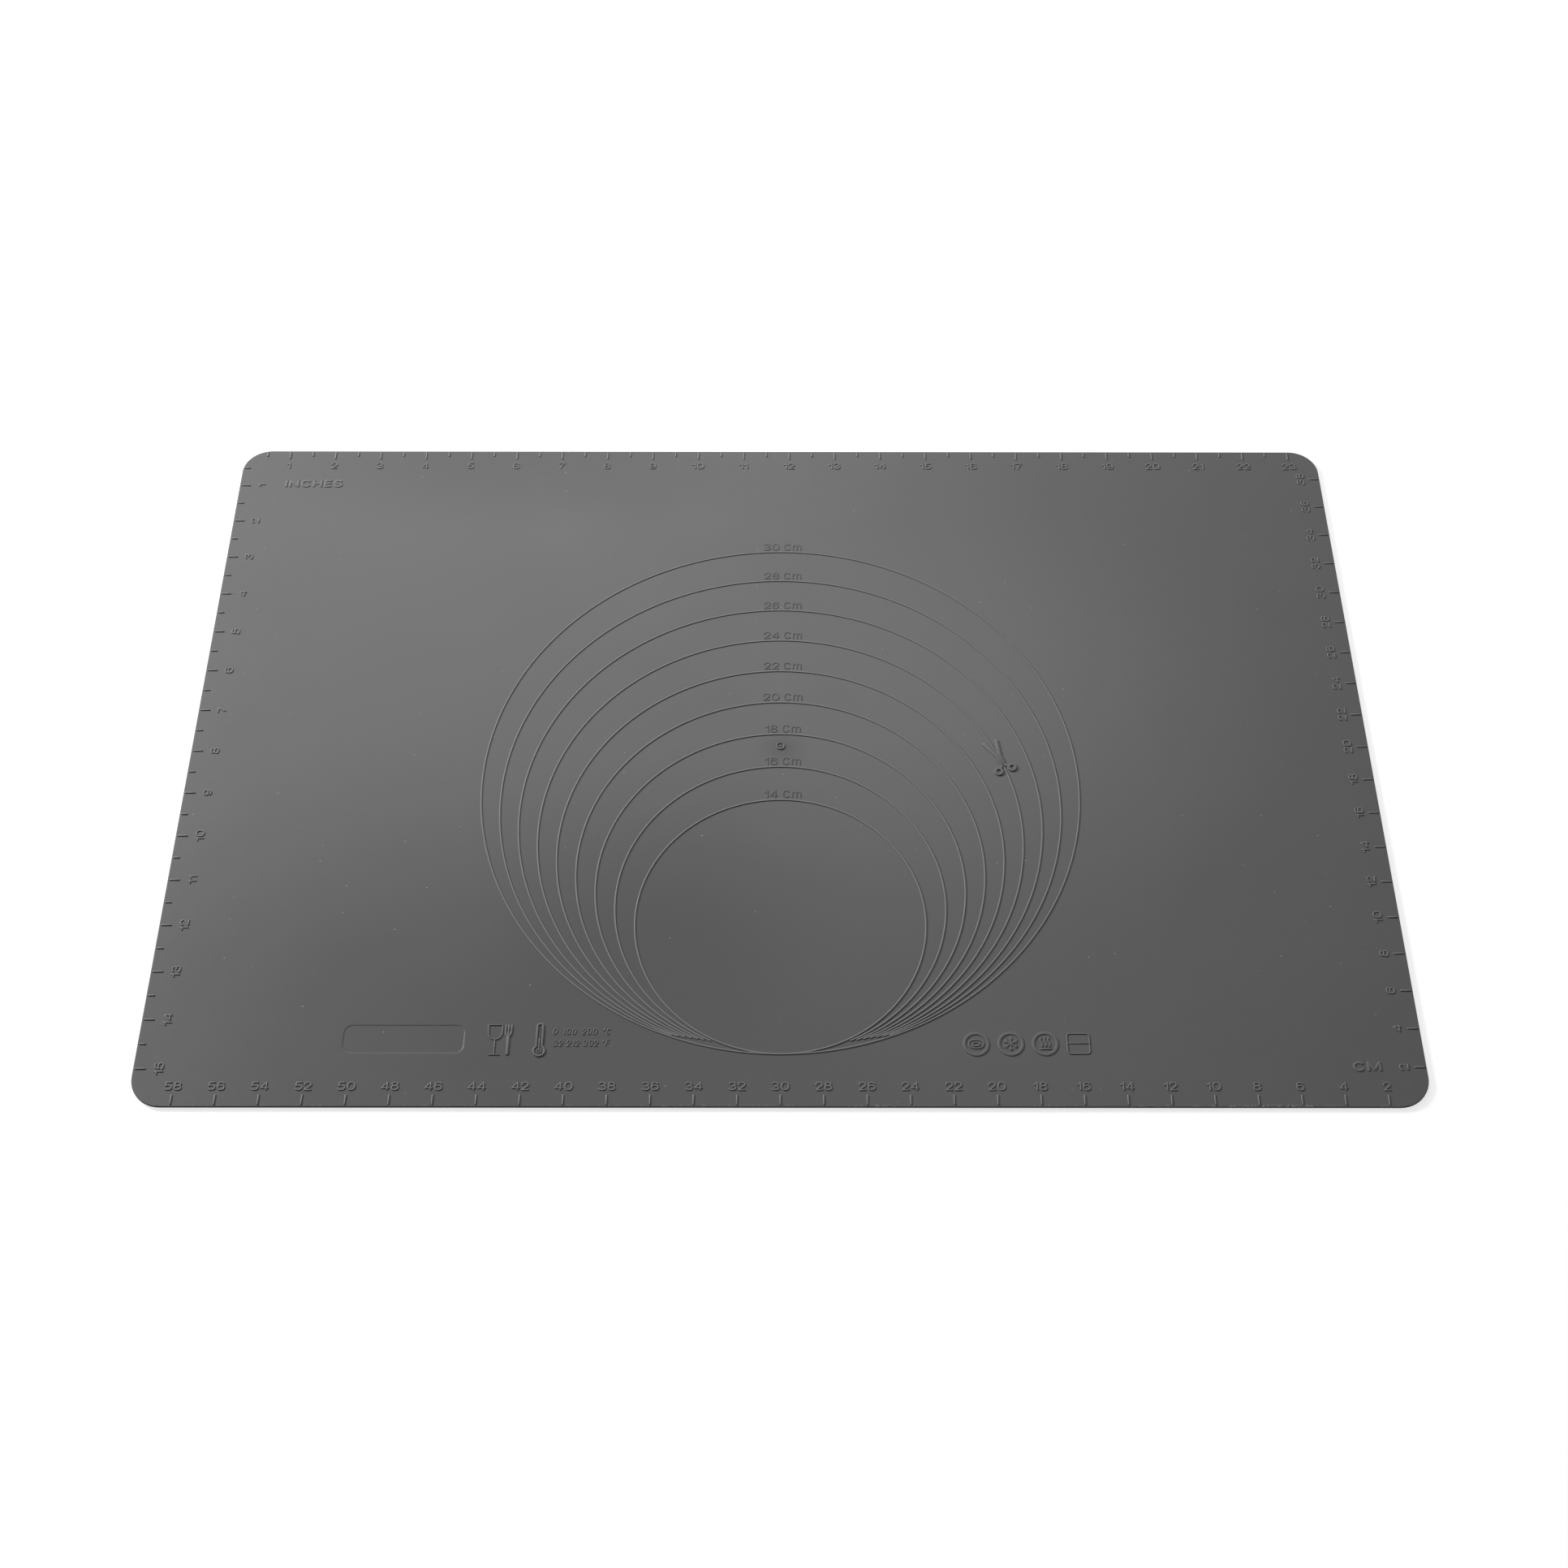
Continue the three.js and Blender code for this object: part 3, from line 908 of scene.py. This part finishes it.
# Circle labels
# Each circle's diameter stands on its rib at the back, moulded in faint low letters with the unit after
# it. Sizes count in centimetres from the smallest circle.
LABEL_SIZE = (3.05, 3.95)
LABEL_CUT = (0.9, 0.13, 0.12)
LABEL_GAP = 1.4
LABEL_SPACE = 1.7
LABEL_RISE = 1.45
LABEL_MIDDLE_X = 1.1
SMALLEST_CIRCLE = 14
CIRCLE_STEP = 2
labels = Lettering("label", "0123456789Cm", LABEL_SIZE, LABEL_CUT, LABEL_GAP)
label_places = []
for number in range(1, CIRCLE_COUNT + 1):
    words = [str(SMALLEST_CIRCLE + CIRCLE_STEP * (number - 1)), "Cm"]
    rib_low, rib_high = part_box(f"guide_circle_{number}")
    rib_y = (rib_high.y - (rib_high.z - rib_low.z)) / MM
    label_y = rib_y + LABEL_RISE + LABEL_SIZE[1] / 2
    label_places += labels.line(words, LABEL_MIDDLE_X, label_y, 0, LABEL_SPACE)
labels.piece("circle_labels", label_places)
put_away(labels.chest)

# Gate mark
# The place where the rubber ran into the tool, at the very middle of the sheet: a small raised ring with
# the nib that was left inside it when the runner was torn off.
GATE_RADIUS = 1.95
GATE_CUT = (0.9, 0.42, 0.42)
NIB_LINE = [(-0.15, 0.1), (0.2, -0.15)]
NIB_CUT = (0.9, 0.25, 0.25)
RING_STEPS = 32


def signs_piece(name, *parts):
    """One piece of several sets of strokes, as (strokes, cut) each."""
    joined = bmesh.new()
    for strokes, cut in parts:
        mesh = moulded_lines(name, strokes, cut, material=SIGN_SILICONE)
        joined.from_mesh(mesh)
    mesh.clear_geometry()
    joined.to_mesh(mesh)
    joined.free()
    return fix_piece(shown_piece(name, mesh))


def ring(x, y, radius):
    """A closed round stroke."""
    points = []
    for step in range(RING_STEPS):
        angle = 2 * math.pi * step / RING_STEPS
        points.append((x + radius * math.cos(angle), y + radius * math.sin(angle)))
    return points + points[:1]


signs_piece("gate_ring", ([ring(0.0, 0.0, GATE_RADIUS)], GATE_CUT), ([NIB_LINE], NIB_CUT))

# Scissors sign
# A small pair of open scissors astride the 24 cm circle, moulded in bold flat relief: the rib runs up
# between the blades, stops at the pivot, and goes on between the two finger loops.
BLADE_CUT = (1.4, 0.54, 0.15)
PIVOT_CUT = (1.8, 0.51, 0.15)
SHANK_CUT = (1.2, 0.53, 0.15)
LOOP_RADIUS = 1.75
LOOP_CUT = (1.0, 0.55, 0.15)
LEFT_SHANK = (112.2, -11.7)
RIGHT_SHANK = (113.8, -11.1)
blades = [[(103.9, 1.1), (110.2, -6.3), LEFT_SHANK], [(110.15, 3.5), (111.5, -6.1), RIGHT_SHANK]]
pivot = [[(110.95, -6.9), (112.9, -11.1)]]
shanks = [[LEFT_SHANK, (111.6, -13.9)], [RIGHT_SHANK, (115.7, -12.3)]]
loops = [ring(110.6, -15.5, LOOP_RADIUS), ring(117.4, -12.9, LOOP_RADIUS)]
handles = ((shanks, SHANK_CUT), (loops, LOOP_CUT))
signs_piece("scissors_sign", (blades, BLADE_CUT), (pivot, PIVOT_CUT), *handles)

# Goblet and fork sign
# A drinking glass in outline beside a solid three-pronged fork, moulded in raised strokes like the
# numbers. The outline is thin, the fork's handle bolder.
GOBLET_X = -133.4
GOBLET_CUT = (0.75, 0.38, 0.35)
RIM_HALF = 3.35
RIM_Y = -158.4
BOWL_Y = -161.6
BOWL_HALVES = (3.3, 4.4)
STEM_ENDS = (-166.0, -173.6)
FOOT_Y = -173.8
FOOT_HALF = 2.3


def level_stroke(x, y, half):
    """A level stroke that reaches this far to either side of a point."""
    return [(x - half, y), (x + half, y)]


rim = level_stroke(GOBLET_X, RIM_Y, RIM_HALF)
bowl = rim[:1] + bow(GOBLET_X, BOWL_Y, *BOWL_HALVES, 180, 360) + rim[1:]
stem = [(GOBLET_X, y) for y in STEM_ENDS]
foot = level_stroke(GOBLET_X, FOOT_Y, FOOT_HALF)
signs_piece("goblet_sign", ([rim, bowl, stem, foot], GOBLET_CUT))
FORK_X = -127.25
TINE_PITCH = 1.4
TINE_ENDS = (-158.6, -162.2)
TINE_CUT = (0.75, 0.38, 0.2)
HEAD_Y = -162.0
HEAD_HALVES = (1.3, 2.3)
HEAD_CUT = (1.0, 0.4, 0.3)
NECK_ENDS = (-162.6, -164.0)
HANDLE_ENDS = (-164.2, -173.5)
HANDLE_LEAN = 0.05
HANDLE_CUT = (1.25, 0.42, 0.2)
tines = [[(FORK_X + side, y) for y in TINE_ENDS] for side in (-TINE_PITCH, 0.0, TINE_PITCH)]
head = [bow(FORK_X, HEAD_Y, *HEAD_HALVES, 180, 360), [(FORK_X, y) for y in NECK_ENDS]]
handle = [[(FORK_X, HANDLE_ENDS[0]), (FORK_X - HANDLE_LEAN, HANDLE_ENDS[1])]]
signs_piece("fork_sign", (tines, TINE_CUT), (head, HEAD_CUT), (handle, HANDLE_CUT))

# Thermometer sign and its scale
# A bulb thermometer moulded in outline, with its column and a few marks inside, and beside it two rows of
# plain slanted numbers that set degrees on the one scale against degrees on the other.
TUBE_X = -112.5
TUBE_HALF = 1.35
TUBE_TOP = -159.3
TUBE_CAP = 1.4
BULB_Y = -171.8
BULB_RADIUS = 2.6
BULB_STEPS = 24
BULB_OPENING = math.degrees(math.acos(TUBE_HALF / BULB_RADIUS))
TUBE_FOOT = BULB_Y + BULB_RADIUS * math.sin(math.radians(BULB_OPENING))
GLASS_CUT = (0.88, 0.46, 0.25)
COLUMN_X = TUBE_X - 0.1
COLUMN_TOP = -165.2
COLUMN_BULB = 1.05
COLUMN_CUT = (0.6, 0.3, 0.2)
MARK_COUNT = 6
MARK_LEFT = TUBE_X + 0.1
MARK_RIGHT = TUBE_X + 0.7
FIRST_MARK = -160.6
MARK_PITCH = 0.8
MARK_CUT = (0.3, 0.2, 0.15)
cap = bow(TUBE_X, TUBE_TOP, TUBE_HALF, TUBE_CAP, 180, 0)
tube = [(TUBE_X - TUBE_HALF, TUBE_FOOT)] + cap + [(TUBE_X + TUBE_HALF, TUBE_FOOT)]
bulb = []
for step in range(BULB_STEPS + 1):
    angle = math.radians(BULB_OPENING - (180 + 2 * BULB_OPENING) * step / BULB_STEPS)
    bulb.append((TUBE_X + BULB_RADIUS * math.cos(angle), BULB_Y + BULB_RADIUS * math.sin(angle)))
column = [[(COLUMN_X, COLUMN_TOP), (COLUMN_X, BULB_Y)], ring(COLUMN_X, BULB_Y, COLUMN_BULB)]
marks = []
for number in range(MARK_COUNT):
    mark_y = FIRST_MARK - MARK_PITCH * number
    marks.append([(MARK_LEFT, mark_y), (MARK_RIGHT, mark_y)])
signs_piece("thermometer_sign", ([tube, bulb], GLASS_CUT), (column, COLUMN_CUT), (marks, MARK_CUT))
DEGREE_SIZE = (1.45, 3.0)
DEGREE_CUT = (0.55, 0.24, 0.2)
DEGREE_GAP = 1.05
DEGREE_SLANT = 0.55
DEGREES_X = -93.0
CELSIUS_Y = -161.8
CELSIUS_SPACE = 2.0
FAHRENHEIT_Y = -167.9
FAHRENHEIT_SPACE = 1.2
degrees = Lettering("degree", "0123456789CFo", DEGREE_SIZE, DEGREE_CUT, DEGREE_GAP, DEGREE_SLANT)
celsius = ["0", "100", "200", "oC"]
fahrenheit = ["32", "212", "392", "oF"]
degree_places = degrees.line(celsius, DEGREES_X, CELSIUS_Y, 0, CELSIUS_SPACE)
degree_places += degrees.line(fahrenheit, DEGREES_X, FAHRENHEIT_Y, 0, FAHRENHEIT_SPACE)
degrees.piece("degree_numbers", degree_places)
put_away(degrees.chest)

# Care rings
# Three flat raised rings in a row near the front right, moulded with the sheet, each round a plain kitchen
# mark: a dish, a star of frost and three lines of heat.
RING_RADIUS = 5.55
RING_CUT = (1.4, 0.28, 0.15)
RING_MIDDLES = ((91.4, -168.2), (107.6, -168.1), (123.7, -168.0))
KITCHEN_CUT = (0.65, 0.3, 0.15)
DISH_HALVES = ((3.5, 2.2), (1.7, 1.0))
FROST_ARMS = 6
FROST_ARM = 3.4
FROST_TURN = 30
BRANCH_FROM = 2.1
BRANCH_LENGTH = 1.0
BRANCH_LEAN = 45
HOB_HALF = 2.6
HOB_DROP = 2.7
HEAT_PITCH = 1.8
HEAT_SWAY = 0.45
HEAT_TURN = 0.7
HEAT_DROP = 1.5
HEAT_RISE = 0.5
HEAT_POINTS = 10
dish_x, dish_y = RING_MIDDLES[0]
frost_x, frost_y = RING_MIDDLES[1]
heat_x, heat_y = RING_MIDDLES[2]
dish_lines = [bow(dish_x, dish_y, half_x, half_y, 0, 360) for half_x, half_y in DISH_HALVES]


def stroke_from(start, turn, length):
    """A straight stroke of this length from a point, at an angle in radians."""
    return [start, (start[0] + length * math.cos(turn), start[1] + length * math.sin(turn))]


frost_lines = []
for arm in range(FROST_ARMS):
    turn = math.radians(360 / FROST_ARMS * arm + FROST_TURN)
    frost_lines.append(stroke_from((frost_x, frost_y), turn, FROST_ARM))
    branch_foot = stroke_from((frost_x, frost_y), turn, BRANCH_FROM)[1]
    for lean in (-BRANCH_LEAN, BRANCH_LEAN):
        frost_lines.append(stroke_from(branch_foot, turn + math.radians(lean), BRANCH_LENGTH))
heat_lines = [level_stroke(heat_x, heat_y - HOB_DROP, HOB_HALF)]
for side in (-HEAT_PITCH, 0.0, HEAT_PITCH):
    wave = []
    for step in range(HEAT_POINTS):
        wave_x = heat_x + side + HEAT_SWAY * math.sin(step * HEAT_TURN)
        wave.append((wave_x, heat_y - HEAT_DROP + HEAT_RISE * step))
    heat_lines.append(wave)
kitchen_marks = (("dish", dish_lines), ("frost", frost_lines), ("heat", heat_lines))
for (name, lines), middle in zip(kitchen_marks, RING_MIDDLES):
    signs_piece(f"care_ring_{name}", ([ring(*middle, RING_RADIUS)], RING_CUT), (lines, KITCHEN_CUT))

# Badge
# A rounded square frame with one bar across it, moulded in thin raised lines beside the care rings and
# left without words.
BADGE_MIDDLE = (139.2, -168.0)
BADGE_SIDE = 10.4
BADGE_CORNER_RADIUS = 1.4
BADGE_CORNER_STEPS = 5
FRAME_CUT = (0.68, 0.3, 0.2)
BAR_Y = -167.8
BAR_CUT = (0.6, 0.28, 0.2)
badge_outline = rounded_outline(
    BADGE_MIDDLE, BADGE_SIDE, BADGE_SIDE, BADGE_CORNER_RADIUS, BADGE_CORNER_STEPS,
)
badge_bar = level_stroke(BADGE_MIDDLE[0], BAR_Y, BADGE_SIDE / 2)
signs_piece("badge_frame", ([badge_outline + badge_outline[:1]], FRAME_CUT), ([badge_bar], BAR_CUT))

# Table, light and camera
# A plain white table, a lamp low on the left whose light rakes across the relief, two soft lamps behind
# the mat that lay a sheen on its face, and a camera in front of it and above.
TABLE_HALF = 4.0
TABLE_GAP = 0.00003
TABLE_GREY = (0.45, 0.45, 0.45, 1.0)
TABLE_ROUGHNESS = 0.9
TABLE_SPECULAR = 0.1
WHITE = (1.0, 1.0, 1.0, 1.0)
LIFT_NEAR_MAT = 0.74
LIFT_FAR_OFF = 1.0
LIFT_REACH = (0.5, 1.5)
table_corners = []
for side_x, side_y in ((-1, -1), (1, -1), (1, 1), (-1, 1)):
    table_corners.append((side_x * TABLE_HALF, side_y * TABLE_HALF, -TABLE_GAP))
table_mesh = bpy.data.meshes.new("white_table")
table_mesh.from_pydata(table_corners, [], [(0, 1, 2, 3)])
white_table = shown_piece("white_table", table_mesh)


def seen_directly(tree):
    """1 for rays from the camera and for what mirrors and glass show, else 0."""
    rays = place_node(tree, "ShaderNodeLightPath")
    mirrored = sum_node(tree, "MAXIMUM", rays.outputs["Is Glossy Ray"], rays.outputs["Is Transmission Ray"])
    return sum_node(tree, "MAXIMUM", rays.outputs["Is Camera Ray"], mirrored)


def white_table_paint():
    """White paint that keeps the mat's shadow and is lifted to white where nothing shades it."""
    material = bpy.data.materials.new("white_table_paint")
    material.use_nodes = True
    tree = material.node_tree
    place = {0: place_node(tree, "ShaderNodeTexCoord").outputs["Object"]}
    from_mat = place_node(tree, "ShaderNodeVectorMath", place, operation="LENGTH")
    lift = fade_node(tree, from_mat.outputs["Value"], *LIFT_REACH, LIFT_NEAR_MAT, LIFT_FAR_OFF)
    feed_node(tree, tree.nodes["Principled BSDF"], {
        "Base Color": TABLE_GREY,
        "Roughness": TABLE_ROUGHNESS,
        "Specular IOR Level": TABLE_SPECULAR,
        "Emission Color": WHITE,
        "Emission Strength": sum_node(tree, "MULTIPLY", seen_directly(tree), lift),
    })
    return material


white_table.data.materials.append(white_table_paint())

WORLD_LIGHT = 0.1
world = bpy.data.worlds.new("studio")
bpy.context.scene.world = world
world.use_nodes = True
sky_light = fade_node(world.node_tree, seen_directly(world.node_tree), 0.0, 1.0, WORLD_LIGHT, 1.0)
feed_node(world.node_tree, world.node_tree.nodes["Background"], {"Color": WHITE, "Strength": sky_light})


def soft_lamp(name, place, aim, side, power):
    """A square area lamp at a place in metres, turned to a point on the mat."""
    lamp = bpy.data.lights.new(name, "AREA")
    lamp.shape = "SQUARE"
    lamp.size = side
    lamp.energy = power
    holder = shown_piece(name, lamp)
    holder.location = place
    holder.rotation_mode = "QUATERNION"
    holder.rotation_quaternion = (Vector(aim) - Vector(place)).to_track_quat("-Z", "Y")


# Each lamp: its bearing and height in degrees, its distance and side in metres, and its power.
LAMPS = (
    ("left_lamp", 147, 21, 2.4, 0.5, 92.0),
    ("back_lamp", 102, 40, 0.9, 0.5, 2.2),
    ("high_lamp", 98, 48, 1.7, 1.0, 4.5),
)
for name, bearing, height, distance, side, power in LAMPS:
    level = distance * math.cos(math.radians(height))
    place = (
        level * math.cos(math.radians(bearing)),
        level * math.sin(math.radians(bearing)),
        distance * math.sin(math.radians(height)),
    )
    soft_lamp(name, place, (0.0, 0.0, 0.0), side, power)

CAMERA_LENS = 48.83
CAMERA_SENSOR = 36.0
CAMERA_SEES = (0.01, 50.0)
CAMERA_PLACE = (-0.000984, -0.610588, 0.898713)
CAMERA_TURNS = (33.2171, -0.14635, -0.04325)
camera = bpy.data.cameras.new("camera")
camera.lens = CAMERA_LENS
camera.sensor_width = CAMERA_SENSOR
camera.clip_start, camera.clip_end = CAMERA_SEES
stand = shown_piece("camera", camera)
stand.location = CAMERA_PLACE
stand.rotation_euler = [math.radians(turn) for turn in CAMERA_TURNS]
bpy.context.scene.camera = stand
bpy.context.scene.view_settings.view_transform = "Standard"

bpy.context.view_layer.update()
